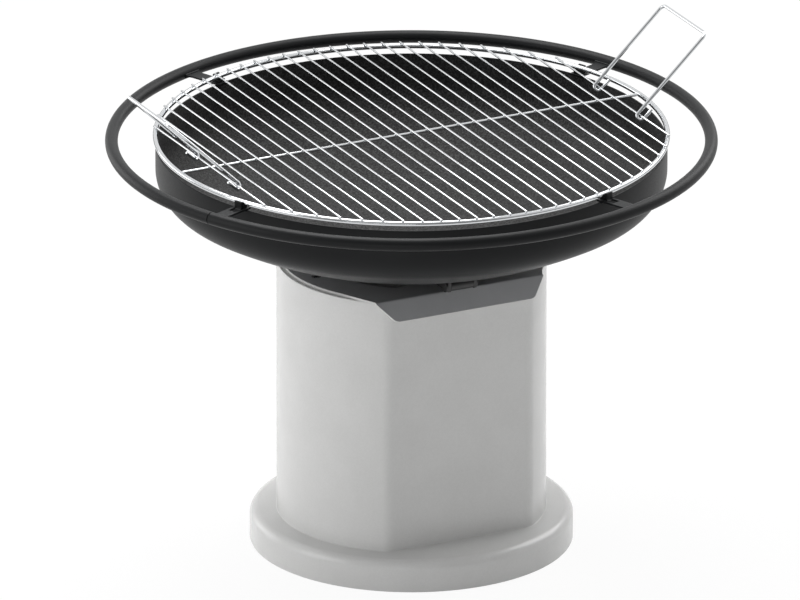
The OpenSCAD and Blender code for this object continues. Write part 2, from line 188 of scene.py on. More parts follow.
class GridSizes(bpy.types.PropertyGroup):
    """Sizes of the lift-off grid."""

    radius: size("Grid radius", "Radius of the ring wire's centreline", 397)
    ring_wire: size("Ring wire", "Radius of the ring's wire", 4)
    ring_z: size("Ring height", "Height of the ring's centreline above the ground", 664)
    pitch: size("Pitch", "Distance between the wires", 26.8)
    per_side: IntProperty(name="Wires per side", description="Wires beside the middle one",
                          default=13, min=1)
    wire: size("Wire", "Radius of the straight wires", 1.6)
    past: size("Overhang", "How far the wires reach past the ring's centreline", 3)
    crossbar: size("Crossbar", "Radius of the bar under the wires", 2.5)


class BailSizes(bpy.types.PropertyGroup):
    """Sizes of the two bail handles."""

    wire: size("Handle wire", "Radius of the handle's wire", 2.75)
    rise: lean("Rise", "Rise of the open handles above the horizontal", 43.6)
    length: size("Handle length", "Distance from the hinge wire to the grip", 163)
    width: size("Handle width", "Distance between the legs", 147)
    front: size("Place", "How far the handle's middle sits towards the front", 21.5)
    corner: size("Grip corners", "Rounding at the grip's ends", 9)
    eye_gap: size("Eye gap", "Gap between the eye and the wire that it turns on", 0.3)
    eye_slant: lean("Eye slant", "Slant of the eye along the wire", 40)
    tail: size("Tail", "Length of the tail past the eye", 19)


class Finishes(bpy.types.PropertyGroup):
    """Colours of the finishes."""

    concrete: colour("Concrete", "Sealed cast concrete", "#d0d0cf")
    concrete_shade: colour("Concrete mottle", "Darker clouds in the concrete", "#cdcdcc")
    heatproof: colour("Heat-proof black", "Satin black coating on the bowl and rail", "#18191a")
    inside: colour("Bowl inside", "Matt black of the bowl's inside", "#181818")
    inside_grain: colour("Inside grain", "Lighter grain of the bowl's inside", "#444444")
    plate: colour("Plate", "Dark grey coating of the top plate", "#a6a7a9")
    # Painted light: pale colour on the top plate's cut edges and underside, so that its edge reads
    # as bright as the lit concrete beside it
    painted_light_edge: colour("Cut edges", "Bare laser-cut edges and underside of the top plate", "#c2c2c1")
    blackened: colour("Blackened steel", "Ears, knuckle, pin and posts", "#151515")
    zinc: colour("Zinc", "Zinc-plated screw sleeves", "#b9bcc0")
    rubber: colour("Rubber", "Black rubber of the buffers", "#161616")
    chrome: colour("Chrome", "Bright chrome of grid and handles", "#d2d4d6")
    floor: colour("Floor", "Pale floor", "#f4f4f4")


class GrillSettings(bpy.types.PropertyGroup):
    """Everything about the grill that a user can change."""

    pedestal: PointerProperty(type=PedestalSizes)
    plate: PointerProperty(type=PlateSizes)
    bowl: PointerProperty(type=BowlSizes)
    rail: PointerProperty(type=RailSizes)
    hinge: PointerProperty(type=HingeSizes)
    grid: PointerProperty(type=GridSizes)
    bail: PointerProperty(type=BailSizes)
    finish: PointerProperty(type=Finishes)


# Modelling by hand: a new piece is opened in edit mode, drawn, spun and extruded, then closed.

def open_piece(name):
    """Deselects everything and opens a new, empty piece in edit mode."""
    bpy.ops.object.select_all(action="DESELECT")
    bpy.ops.mesh.primitive_plane_add(size=MM)
    piece = bpy.context.object
    piece.name = piece.data.name = name
    bpy.ops.object.mode_set(mode="EDIT")
    bpy.ops.mesh.delete(type="VERT")
    return piece


def middle(part):
    """The middle of a point, an edge or a face."""
    points = [part.co] if isinstance(part, bmesh.types.BMVert) else [v.co for v in part.verts]
    return sum(points, Vector()) / len(points)


def pick(kind, wanted):
    """Selects the points, edges or faces that are wanted, by their place or normal."""
    bpy.ops.mesh.select_mode(type=kind)
    bpy.ops.mesh.select_all(action="DESELECT")
    mesh = bmesh.from_edit_mesh(bpy.context.edit_object.data)
    parts = {"VERT": mesh.verts, "EDGE": mesh.edges, "FACE": mesh.faces}[kind]
    found = [part for part in parts if wanted(part)]
    if not found:
        raise RuntimeError("nothing to select on " + bpy.context.edit_object.name)
    for part in found:
        part.select_set(True)
    bmesh.update_edit_mesh(bpy.context.edit_object.data)


def near(value, wanted):
    """Whether two lengths are the same to a fiftieth of a millimetre."""
    return abs(value - wanted) < MM / 50


def open_edges_at(height):
    """Selects the open edges that lie at one height."""
    pick("EDGE", lambda edge: not len(edge.link_faces) > 1
         and all(near(v.co.z, height) for v in edge.verts))


def move(x=0, y=0, z=0):
    """Extrudes what is selected by a distance."""
    bpy.ops.mesh.extrude_region_move(TRANSFORM_OT_translate={"value": (x, y, z)})


def swing(turn, steps, centre, axis):
    """Spins what is selected by an angle, counter-clockwise round the axis."""
    bpy.ops.mesh.spin(steps=steps, angle=-turn, center=centre, axis=axis)


class Pen:
    """A point that draws edges behind it as it is extruded and spun."""

    def __init__(self, point):
        bpy.ops.mesh.select_mode(type="VERT")
        bpy.ops.mesh.primitive_plane_add(size=MM, location=point)
        bpy.ops.mesh.merge(type="CENTER")
        self.start = self.at = Vector(point)

    def to(self, point):
        """Draws a straight edge."""
        step = Vector(point) - self.at
        bpy.ops.mesh.extrude_vertices_move(TRANSFORM_OT_translate={"value": step})
        self.at = Vector(point)

    def arc(self, turn, steps, centre, axis):
        """Draws an arc, counter-clockwise round the axis."""
        swing(turn, steps, centre, axis)
        centre = Vector(centre)
        self.at = centre + Matrix.Rotation(turn, 3, Vector(axis)) @ (self.at - centre)

    def close(self):
        """Draws the last edge, back to the start."""
        self.to(self.start)


def merge_doubles():
    """Merges points that fell on each other and turns all faces outwards."""
    bpy.ops.mesh.select_mode(type="VERT")
    bpy.ops.mesh.select_all(action="SELECT")
    bpy.ops.mesh.remove_doubles(threshold=MM / 100)
    bpy.ops.mesh.normals_make_consistent(inside=False)


def cut_sheet(**thickness):
    """Fills the drawn outlines, with their holes, and extrudes them to the sheet's thickness."""
    merge_doubles()
    bpy.ops.mesh.select_mode(type="EDGE")
    bpy.ops.mesh.select_all(action="SELECT")
    bpy.ops.mesh.fill()
    bpy.ops.mesh.select_all(action="SELECT")
    move(**thickness)


def lathe(steps):
    """Spins the drawn profile once round the upright axis."""
    bpy.ops.mesh.select_linked()
    swing(2 * pi, steps, (0, 0, 0), UP)


def hoop(radius, height, wire, start, steps, sides):
    """Draws a ring of round wire with its first section at the start angle."""
    place = (radius * cos(start), radius * sin(start), height)
    bpy.ops.mesh.primitive_circle_add(vertices=sides, radius=wire, location=place,
                                      rotation=(pi / 2, 0, start))
    lathe(steps)


def copy_piece(source, name, placing):
    """Copies a piece with a mesh of its own, places it and opens it in edit mode."""
    piece = source.copy()
    piece.data = source.data.copy()
    piece.name = piece.data.name = name
    piece.data.transform(placing)
    bpy.context.collection.objects.link(piece)
    bpy.ops.object.select_all(action="DESELECT")
    piece.select_set(True)
    bpy.context.view_layer.objects.active = piece
    bpy.ops.object.mode_set(mode="EDIT")
    return piece


def close_piece(piece, body, finish, nodes, edge=0, smooth=35):
    """Rounds the sharp edges, shades the piece and hides the part of the frame that it stands for.
    """
    merge_doubles()
    bpy.ops.object.mode_set(mode="OBJECT")
    if edge:
        bpy.ops.object.modifier_add(type="BEVEL")
        rounding = piece.modifiers[-1]
        rounding.width = edge
        rounding.segments = 2
        rounding.limit_method = "ANGLE"
        rounding.angle_limit = radians(30)
        bpy.ops.object.modifier_apply(modifier=rounding.name)
    bpy.ops.object.shade_smooth_by_angle(angle=radians(smooth))
    if edge:
        bpy.ops.object.modifier_add(type="WEIGHTED_NORMAL")
        piece.modifiers[-1].keep_sharp = True
        bpy.ops.object.modifier_apply(modifier=piece.modifiers[-1].name)
    if not piece.data.materials:
        piece.data.materials.append(finish)
    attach(piece, body)
    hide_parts(*nodes)
    return piece


# Finishes. Patterns read Object coordinates, which are metres on every piece.

def add(material, kind, inputs=(), **settings):
    """Adds a node with its settings, its values and the links into it."""
    made = material.node_tree.nodes.new("ShaderNode" + kind)
    for name, value in settings.items():
        setattr(made, name, value)
    for key, value in dict(inputs).items():
        if isinstance(value, bpy.types.NodeSocket):
            material.node_tree.links.new(value, made.inputs[key])
        else:
            made.inputs[key].default_value = value
    return made


def new_finish(name):
    """A material with nothing in it but the Object coordinates."""
    made = bpy.data.materials.get(name)
    if made:
        return made, None
    made = bpy.data.materials.new(name)
    made.use_nodes = True
    made.node_tree.nodes.clear()
    return made, add(made, "TexCoord").outputs["Object"]


def show(material, shader):
    """Links the finished shader to the material's output."""
    add(material, "OutputMaterial", {"Surface": shader.outputs[0]})
    return material


def opaque(colour_value):
    """A colour with full alpha."""
    return (*colour_value, 1)


def noise(material, place, scale, detail, roughness=0.5):
    """A cloudy pattern with so many clouds to the metre."""
    return add(material, "TexNoise", {"Vector": place, "Scale": scale, "Detail": detail,
                                      "Roughness": roughness}).outputs["Fac"]


def remap(material, value, low, high, least=0, most=1):
    """Turns a value between two limits into one of a new range, and stops at its ends."""
    return add(material, "MapRange", {"Value": value, "From Min": low, "From Max": high,
                                      "To Min": least, "To Max": most}).outputs[0]


def mix(material, share, first, second, how="MIX"):
    """Mixes two colours by a share, or multiplies them."""
    return add(material, "Mix", {0: share, 6: first, 7: second}, data_type="RGBA",
               blend_type=how).outputs[2]


def sealed_cast_concrete(finish):
    """Fine concrete cast in a smooth mould and sealed: pale, faintly clouded, with small pores
    and the low sheen of the sealer, which mirrors the surroundings at a grazing angle."""
    made, place = new_finish("sealed_cast_concrete")
    if place is None:
        return made
    # Clouds about 90 mm across and a fine 3 mm mottle of sand
    clouds = noise(made, place, 11, 4, 0.6)
    sand = noise(made, place, 320, 2)
    cloudy = remap(made, clouds, 0.38, 0.62)
    base = mix(made, cloudy, opaque(finish.concrete), opaque(finish.concrete_shade))
    sanded = mix(made, 1, base, remap(made, sand, 0.3, 0.7, 0.98, 1.015), "MULTIPLY")
    # Air pores of 0.5 to 1 mm, one in about every 14 mm
    pores = add(made, "TexVoronoi", {"Vector": place, "Scale": 70, "Randomness": 1})
    depth = remap(made, pores.outputs["Distance"], 0.02, 0.06, 0.93, 1)
    pored = mix(made, 1, sanded, depth, "MULTIPLY")
    relief = add(made, "Math", {0: sand, 1: depth}, operation="MULTIPLY")
    bump = add(made, "Bump", {"Strength": 0.12, "Distance": 0.4 * MM, "Height": relief.outputs[0]})
    sheen = remap(made, clouds, 0.3, 0.7, 0.2, 0.26)
    return show(made, add(made, "BsdfPrincipled", {
        "Base Color": pored, "Roughness": sheen, "Normal": bump.outputs[0], "IOR": 1.5}))


def coated_steel(name, base, roughness, grain, peel, specular=0.5):
    """Sprayed and baked coating on steel: an even colour, fine orange peel and a satin sheen."""
    made, place = new_finish(name)
    if place is None:
        return made
    # Orange peel about 2 mm across, drawn a little coarser than real so that it shows
    wave = noise(made, place, 1 / (2 * peel), 2)
    dust = noise(made, place, 14, 3)
    shade = remap(made, dust, 0.35, 0.65, 1 - grain, 1 + grain)
    tone = mix(made, 1, opaque(base), shade, "MULTIPLY")
    gloss = remap(made, wave, 0.3, 0.7, roughness - 0.04, roughness + 0.04)
    bump = add(made, "Bump", {"Strength": 0.1, "Distance": 0.2 * MM, "Height": wave})
    return show(made, add(made, "BsdfPrincipled", {
        "Base Color": tone, "Roughness": gloss, "Normal": bump.outputs[0],
        "Specular IOR Level": specular}))


def heatproof_black(finish):
    """Heat-proof paint, satin black, on the bowl's outside, rail and brackets."""
    return coated_steel("heatproof_black_paint", finish.heatproof, 0.42, 0.05, 1 * MM, 0.13)


def plate_coating(finish):
    """Dark grey powder coating on the top plate. Its cut edges and underside carry painted light: a
    pale colour, so that the edge reads as bright as the lit concrete beside it.
    """
    made = bpy.data.materials.get("dark_grey_powder_coat")
    if made:
        return made
    made = coated_steel("dark_grey_powder_coat", finish.plate, 0.45, 0.04, 0.8 * MM, 0.4)
    # Painted light: only the faces that look up get the coating's colour; the cut edges and the
    # underside are painted pale, so that the plate's edge reads as bright as the lit concrete beside
    # it
    turned = add(made, "TexCoord").outputs["Normal"]
    upright = add(made, "VectorMath", {0: turned, 1: UP}, operation="DOT_PRODUCT")
    flat = remap(made, upright.outputs["Value"], 0.3, 0.5)
    shader = next(node for node in made.node_tree.nodes if node.type == "BSDF_PRINCIPLED")
    sprayed = shader.inputs["Base Color"].links[0].from_socket
    edged = mix(made, flat, opaque(finish.painted_light_edge), sprayed)
    made.node_tree.links.new(edged, shader.inputs["Base Color"])
    return made


def blackened_steel(finish):
    """Blackened steel of the hinge parts: near black and matt."""
    return coated_steel("blackened_steel", finish.blackened, 0.7, 0.15, 0.6 * MM, 0.1)


def grainy_primer(finish):
    """The bowl's inside: heat-proof primer, matt and grainy, dark with lighter specks."""
    made, place = new_finish("grainy_primer_black")
    if place is None:
        return made
    # Grain of about 3 mm, coarser than the real sprayed grit so that it shows
    grit = noise(made, place, 330, 3, 0.65)
    amount = remap(made, grit, 0.42, 0.66)
    speckled = mix(made, amount, opaque(finish.inside), opaque(finish.inside_grain))
    worn = remap(made, noise(made, place, 9, 4), 0.35, 0.65, 0.85, 1.15)
    tone = mix(made, 1, speckled, worn, "MULTIPLY")
    bump = add(made, "Bump", {"Strength": 0.35, "Distance": 0.4 * MM, "Height": grit})
    return show(made, add(made, "BsdfPrincipled", {
        "Base Color": tone, "Roughness": 0.75, "Normal": bump.outputs[0],
        "Specular IOR Level": 0.3}))


def plated_metal(name, base, roughness, streak):
    """Plated steel wire or bar: a metal mirror dulled a little by fine drawing marks."""
    made, place = new_finish(name)
    if place is None:
        return made
    marks = noise(made, place, 240, 3)
    gloss = remap(made, marks, 0.3, 0.7, roughness - streak, roughness + streak)
    tone = mix(made, 1, opaque(base), remap(made, marks, 0.3, 0.7, 0.96, 1), "MULTIPLY")
    return show(made, add(made, "BsdfPrincipled", {
        "Base Color": tone, "Metallic": 1, "Roughness": gloss}))


def bright_chrome(finish):
    """Chrome plate over polished wire: it mirrors the white surroundings."""
    return plated_metal("bright_chrome_plate", finish.chrome, 0.1, 0.03)


def zinc_plate(finish):
    """Clear zinc plate on the screw sleeves: bluish grey and satin."""
    return plated_metal("clear_zinc_plate", finish.zinc, 0.32, 0.06)


def moulded_rubber(finish):
    """Black rubber moulded in a sparked tool: matt with a fine dusty grain."""
    made, place = new_finish("moulded_black_rubber")
    if place is None:
        return made
    grain = noise(made, place, 900, 2)
    tone = mix(made, 1, opaque(finish.rubber), remap(made, grain, 0, 1, 0.8, 1.3), "MULTIPLY")
    bump = add(made, "Bump", {"Strength": 0.2, "Distance": 0.1 * MM, "Height": grain})
    return show(made, add(made, "BsdfPrincipled", {
        "Base Color": tone, "Roughness": 0.8, "Normal": bump.outputs[0]}))


# Pieces

SCREW_ANGLES = [radians(a) for a in (-7, 77, 103, 187)]


def polar(radius, angle, height):
    """A point by its distance from the axis, its angle from +X and its height."""
    return Vector((radius * cos(angle), radius * sin(angle), height))


def draw_well(sizes, height):
    """Draws the hollow's D-shaped outline at one height."""
    end = atan2(-sizes.well_flat, sqrt(sizes.well_r ** 2 - sizes.well_flat ** 2))
    pen = Pen(polar(sizes.well_r, end, height))
    pen.arc(pi - 2 * end, 64, (0, 0, height), UP)
    pen.close()


class CastPedestal(bpy.types.Operator):
    """Casts the concrete plinth and column in one piece, with its well and sleeve holes"""

    bl_idname = "grill.cast_pedestal"
    bl_label = "Concrete pedestal"

    def execute(self, context):
        settings = context.scene.grill
        s = settings.pedestal
        piece = open_piece("pedestal_casting")
        crease_y = s.flat - s.crease
        crease_x = sqrt((s.column_r - s.crease) ** 2 - crease_y ** 2)
        crease_turn = pi / 2 - atan2(crease_y, crease_x)
        # Upright section of the flat front, from the foot fillet to the top chamfer
        pen = Pen((-crease_x, -s.flat - s.foot, s.plinth_h))
        pen.arc(pi / 2, 6, (-crease_x, -s.flat - s.foot, s.plinth_h + s.foot), ALONG_X)
        pen.to((-crease_x, -s.flat, s.top - s.chamfer))
        pen.to((-crease_x, -s.flat + s.chamfer, s.top))
        bpy.ops.mesh.select_all(action="SELECT")
        move(x=2 * crease_x)
        swing(crease_turn, 10, (crease_x, -crease_y, 0), UP)
        swing(2 * pi - 2 * crease_turn, 120, (0, 0, 0), UP)
        swing(crease_turn, 10, (-crease_x, -crease_y, 0), UP)
        merge_doubles()
        # Deeper chamfer along the flat front
        bpy.ops.mesh.select_all(action="SELECT")
        bpy.ops.mesh.bisect(plane_co=(0, -s.flat, s.top - s.front_chamfer), plane_no=(0, -1, 1),
                            clear_outer=True)
        pick("VERT", lambda v: near(v.co.z, s.top) and near(v.co.y, s.front_chamfer - s.flat))
        bpy.ops.mesh.edge_face_add()
        pick("EDGE", lambda e: not len(e.link_faces) > 1 and all(
            near(v.co.z - v.co.y, s.top - s.front_chamfer + s.flat) for v in e.verts))
        bpy.ops.mesh.edge_face_add()
        # Plinth with its rounded upper edge
        pen = Pen((s.plinth_r - s.plinth_edge, 0, s.plinth_h))
        pen.arc(pi / 2, 8, (s.plinth_r - s.plinth_edge, 0, s.plinth_h - s.plinth_edge), ALONG_Y)
        pen.to((s.plinth_r, 0, 0))
        lathe(144)
        merge_doubles()
        open_edges_at(s.plinth_h)
        bpy.ops.mesh.fill()
        # Well and sleeve holes
        draw_well(s, s.top)
        bpy.ops.mesh.select_linked()
        move(z=-s.top)
        merge_doubles()
        for angle in SCREW_ANGLES:
            bpy.ops.mesh.primitive_circle_add(vertices=24, radius=s.sleeve_r,
                                              location=polar(s.screw_circle, angle, s.top))
            move(z=-s.sleeve_l)
            bpy.ops.mesh.edge_face_add()
        open_edges_at(s.top)
        bpy.ops.mesh.fill()
        open_edges_at(0)
        bpy.ops.mesh.fill()
        close_piece(piece, "pedestal", sealed_cast_concrete(settings.finish),
                    ["concrete_pedestal"], edge=1.2 * MM)
        return {"FINISHED"}


class FoldTopPlate(bpy.types.Operator):
    """Cuts the top plate with its opening and screw holes, and folds down its apron"""

    bl_idname = "grill.fold_top_plate"
    bl_label = "Top plate"

    def execute(self, context):
        settings = context.scene.grill
        s = settings.plate
        low = settings.pedestal.top
        top = low + s.thick
        piece = open_piece("top_plate_folded")
        corner_r = s.radius + s.fold_corner
        fold_x = sqrt(corner_r ** 2 - s.fold_y ** 2)
        tangent = atan2(-s.fold_y, fold_x) + acos(s.radius / corner_r)
        pen = Pen((fold_x, -s.fold_y, top))
        pen.to(polar(s.radius, tangent, top))
        pen.arc(pi - 2 * tangent, 96, (0, 0, top), UP)
        pen.to((-fold_x, -s.fold_y, top))
        pen.close()
        draw_well(settings.pedestal, top)
        for angle in SCREW_ANGLES:
            bpy.ops.mesh.primitive_circle_add(
                vertices=32, radius=s.countersink,
                location=polar(settings.pedestal.screw_circle, angle, top))
        cut_sheet(z=-s.thick)
        # Screw holes narrow towards the underside
        for angle in SCREW_ANGLES:
            centre = polar(settings.pedestal.screw_circle, angle, low)
            pick("VERT", lambda v: (v.co - centre).length < s.countersink + MM)
            share = s.hole / s.countersink
            bpy.ops.transform.resize(value=(share, share, 1), center_override=centre)
        # Bend, apron and the apron's rounded corners
        merge_doubles()
        bend = pi / 2 - s.apron_lean
        pick("FACE", lambda f: f.normal.y < -0.9 and near(middle(f).y, -s.fold_y))
        swing(bend, 8, (0, -s.fold_y, low - s.bend), ALONG_X)
        down = s.apron_l * Vector((0, -cos(bend), -sin(bend)))
        move(*down)
        share = (fold_x - s.apron_taper) / fold_x
        bpy.ops.transform.resize(value=(share, 1, 1), center_override=(0, -s.fold_y, low))
        corner_angle = pi / 2 + atan2(s.apron_taper, s.apron_l)
        pick("EDGE", lambda e: near(e.calc_length(), s.thick) and middle(e).z < low - s.apron_l / 2)
        bpy.ops.mesh.bevel(offset=s.apron_corner / tan(corner_angle / 2), segments=8,
                           affect="EDGES")
        close_piece(piece, "pedestal", plate_coating(settings.finish),
                    ["top_plate"], edge=0.5 * MM)
        return {"FINISHED"}


class DishFireBowl(bpy.types.Operator):
    """Dishes the fire bowl with its rounded rim, satin outside and grainy inside"""

    bl_idname = "grill.dish_fire_bowl"
    bl_label = "Fire bowl"

    def execute(self, context):
        settings = context.scene.grill
        s = settings.bowl
        piece = open_piece("fire_bowl_dished")
        crown = (0, 0, s.bottom + s.crown)
        knuckle_x = s.radius - s.knuckle
        reach = s.crown - s.knuckle
        knuckle = (knuckle_x, 0, crown[2] - sqrt(reach ** 2 - knuckle_x ** 2))
        slope = asin(knuckle_x / reach)
        inner = s.radius - s.wall
        pen = Pen((0, 0, s.bottom))
        pen.arc(-slope, 28, crown, ALONG_Y)
        pen.arc(slope - pi / 2, 20, knuckle, ALONG_Y)
        pen.to((s.radius, 0, s.rim - s.lip))
        pen.arc(-pi / 2, 4, (s.radius - s.lip, 0, s.rim - s.lip), ALONG_Y)
        pen.to((inner + s.lip, 0, s.rim))
        pen.arc(-pi / 2, 4, (inner + s.lip, 0, s.rim - s.lip), ALONG_Y)
        pen.to((inner, 0, knuckle[2]))
        pen.arc(pi / 2 - slope, 20, knuckle, ALONG_Y)
        pen.arc(slope, 28, crown, ALONG_Y)
        lathe(200)
        merge_doubles()
        piece.data.materials.append(heatproof_black(settings.finish))
        piece.data.materials.append(grainy_primer(settings.finish))
        pick("FACE", lambda f: middle(f).z < s.rim - s.lip
             and f.normal.dot(Vector(crown) - middle(f)) > 0)
        piece.active_material_index = 1
        bpy.ops.object.material_slot_assign()
        close_piece(piece, "bowl", None, ["fire_bowl"])
        return {"FINISHED"}


class BendRingRail(bpy.types.Operator):
    """Bends the tube of the ring rail and closes it with a butt weld"""

    bl_idname = "grill.bend_ring_rail"
    bl_label = "Ring rail"

    def execute(self, context):
        settings = context.scene.grill
        s = settings.rail
        piece = open_piece("ring_rail_tube")
        hoop(s.radius, s.height, s.tube, s.seam, 288, 32)
        merge_doubles()
        # Dressed weld: a shallow groove round the tube
        out, across = polar(1, s.seam, 0), polar(1, s.seam + pi / 2, 0)

        def at_seam(v):
            return near(v.co.dot(across), 0) and v.co.dot(out) > 0

        pick("EDGE", lambda e: all(at_seam(v) for v in e.verts))
        bpy.ops.mesh.bevel(offset=s.groove_w, segments=2, affect="EDGES")
        pick("VERT", at_seam)
        bpy.ops.transform.shrink_fatten(value=-s.groove_d)
        close_piece(piece, "bowl", heatproof_black(settings.finish),
                    ["ring_rail"], smooth=50)
        return {"FINISHED"}


def weld_bead(radius, height, bead, half_width):
    """Lays a bead along an arc round the bowl's axis, with rounded ends."""
    start = -half_width / radius
    bpy.ops.mesh.primitive_circle_add(vertices=10, radius=bead, fill_type="NGON",
                                      location=polar(radius, start, height),
                                      rotation=(pi / 2, 0, start))
    swing(-2 * start, 14, (0, 0, 0), UP)


class CutBrackets(bpy.types.Operator):
    """Cuts the four brackets, bends their tabs up and welds them to bowl and rail"""

    bl_idname = "grill.cut_brackets"
    bl_label = "Brackets and seats"

    def execute(self, context):
        settings = context.scene.grill
        s = settings.rail
        bowl = settings.bowl
        top = bowl.rim + s.thick
        rail_in = s.radius - s.tube
        half = s.width / 2
        first = open_piece("bracket")
        # Outline at the underside: bowl end, flare on both sides, and the end along the tube
        flare_x = rail_in - s.flare + MM
        flare_y = half + s.flare
        centre = Vector((flare_x, -flare_y))
        along = (rail_in ** 2 - s.flare ** 2 + centre.length_squared) / (2 * centre.length)
        off = sqrt(rail_in ** 2 - along ** 2)
        tip = along * centre.normalized() + off * Vector((-centre.y, centre.x)).normalized()
        rise = asin((tip.x - flare_x) / s.flare)
        pen = Pen((bowl.radius - s.inside, half, bowl.rim))
        pen.to((bowl.radius - s.inside, -half, bowl.rim))
        pen.to((flare_x, -half, bowl.rim))
        pen.arc(-rise, 6, (flare_x, -flare_y, bowl.rim), UP)
        pen.arc(2 * asin(-tip.y / rail_in), 8, (0, 0, bowl.rim), UP)
        pen.arc(-rise, 6, (flare_x, flare_y, bowl.rim), UP)
        pen.close()
        # Window that the tab is bent up from
        root = bowl.radius + s.tab_start
        back = root + s.tab_bend + s.thick + s.window
        pen = Pen((root, -s.tab_w / 2, bowl.rim))
        for corner in ((back, -s.tab_w / 2), (back, s.tab_w / 2), (root, s.tab_w / 2)):
            pen.to((*corner, bowl.rim))
        pen.close()
        cut_sheet(z=s.thick)
        merge_doubles()
        pick("FACE", lambda f: near(middle(f).x, root) and f.normal.x > 0.9)
        swing(-pi / 2, 5, (root, 0, top + s.tab_bend), ALONG_Y)
        move(z=s.tab_h - s.tab_bend)
        weld_bead(rail_in, top, s.bead, -tip.y - 2 * MM)
        weld_bead(rail_in, bowl.rim, s.bead, -tip.y - 2 * MM)
        weld_bead(bowl.radius, bowl.rim - s.bead / 2, s.bead, half - 2 * MM)
        merge_doubles()
        bpy.ops.object.mode_set(mode="OBJECT")
        angles = [s.first + index * pi / 2 for index in range(4)]
        for angle, place in zip(angles, ("back_right", "back_left", "front_left", "front_right")):
            name = "bracket_" + place
            piece = copy_piece(first, name + "_bent", Matrix.Rotation(angle, 4, "Z"))
            close_piece(piece, "bowl", heatproof_black(settings.finish),
                        [name], edge=0.35 * MM)
        bpy.data.objects.remove(first)
        seats = open_piece("grid_seat_blocks")
        for angle in angles:
            bpy.ops.mesh.primitive_cube_add(
                size=1, scale=(s.seat_l, s.tab_w, s.seat_h), rotation=(0, 0, angle),
                location=polar(root - s.seat_l / 2, angle, top + s.seat_h / 2))
        close_piece(seats, "bowl", heatproof_black(settings.finish),
                    ["grid_seats"], edge=0.4 * MM)
        return {"FINISHED"}


class ShapeHingeEars(bpy.types.Operator):
    """Shapes the two ears under the bowl, bored for the pin"""

    bl_idname = "grill.shape_hinge_ears"
    bl_label = "Hinge ears"

    def execute(self, context):
        settings = context.scene.grill
        s = settings.hinge
        bowl = settings.bowl
        crown_z = bowl.bottom + bowl.crown
        front = -s.pin_y - s.nose
        rear = front + s.length

        for side, name in ((-1, "hinge_ear_left"), (1, "hinge_ear_right")):
            piece = open_piece(name + "_welded")
            x = side * s.inner
            middle_x = s.inner + s.thick / 2

            def under_bowl(y):
                return (x, y, crown_z - sqrt(bowl.crown ** 2 - middle_x ** 2 - y ** 2))

            pen = Pen(under_bowl(front))
            pen.to((x, front, s.foot + s.corner))
            pen.arc(pi / 2, 6, (x, front + s.corner, s.foot + s.corner), ALONG_X)
            pen.to((x, rear, s.foot))
            for step in range(8):
                pen.to(under_bowl(rear - step * s.length / 8))
            pen.close()
            bpy.ops.mesh.primitive_circle_add(vertices=40, radius=s.pin_r,
                                              location=(x, -s.pin_y, s.pin_z),
                                              rotation=(0, pi / 2, 0))
            cut_sheet(x=side * s.thick)
            close_piece(piece, "bowl", blackened_steel(settings.finish),
                        [name], edge=0.4 * MM)
        return {"FINISHED"}


class WeldGrid(bpy.types.Operator):
    """Welds the grid: ring, straight wires, crossbar and the spot welds where they touch"""

    bl_idname = "grill.weld_grid"
    bl_label = "Grid"

    def execute(self, context):
        settings = context.scene.grill
        s = settings.grid
        chrome = bright_chrome(settings.finish)
        wire_z = s.ring_z + s.ring_wire + s.wire
        ring = open_piece("grid_ring_wire")
        hoop(s.radius, s.ring_z, s.ring_wire, pi / 2, 256, 24)
        close_piece(ring, "grid", chrome, ["grid_ring"])

        wires = open_piece("grid_wires_straight")
        places = [index * s.pitch for index in range(-s.per_side, s.per_side + 1)]
        for x in places:
            half = sqrt((s.radius + s.past) ** 2 - x ** 2)
            bpy.ops.mesh.primitive_cylinder_add(vertices=16, radius=s.wire, depth=2 * half,
                                                location=(x, 0, wire_z), rotation=(pi / 2, 0, 0))
        pick("FACE", lambda f: abs(f.normal.y) > 0.9)
        bpy.ops.mesh.bevel(offset=0.5 * MM, segments=2, affect="EDGES")
        # Spot welds: flat nuggets where each wire lies on the ring and on the crossbar
        for x in places:
            on_ring = sqrt(s.radius ** 2 - x ** 2)
            for y in (-on_ring, 0, on_ring):
                bpy.ops.mesh.primitive_uv_sphere_add(
                    segments=10, ring_count=6, radius=MM, scale=(2.3, 2.3, 1),
                    location=(x, y, wire_z - s.wire))
        close_piece(wires, "grid", chrome, ["grid_wires"], smooth=50)

        bar = open_piece("grid_crossbar_rod")
        length = 2 * (s.radius - s.ring_wire)
        bpy.ops.mesh.primitive_cylinder_add(
            vertices=24, radius=s.crossbar, depth=length,
            location=(0, 0, wire_z - s.wire - s.crossbar), rotation=(0, pi / 2, 0))
        # Beads where the bar meets the ring
        for side in (-1, 1):
            bpy.ops.mesh.primitive_uv_sphere_add(
                segments=16, ring_count=8, radius=MM, scale=(2.2, 3.2, 2.6),
                location=(side * (length / 2 - 0.5 * MM), 0, wire_z - s.wire - s.crossbar))
        close_piece(bar, "grid", chrome, ["grid_crossbar"], smooth=50)
        return {"FINISHED"}


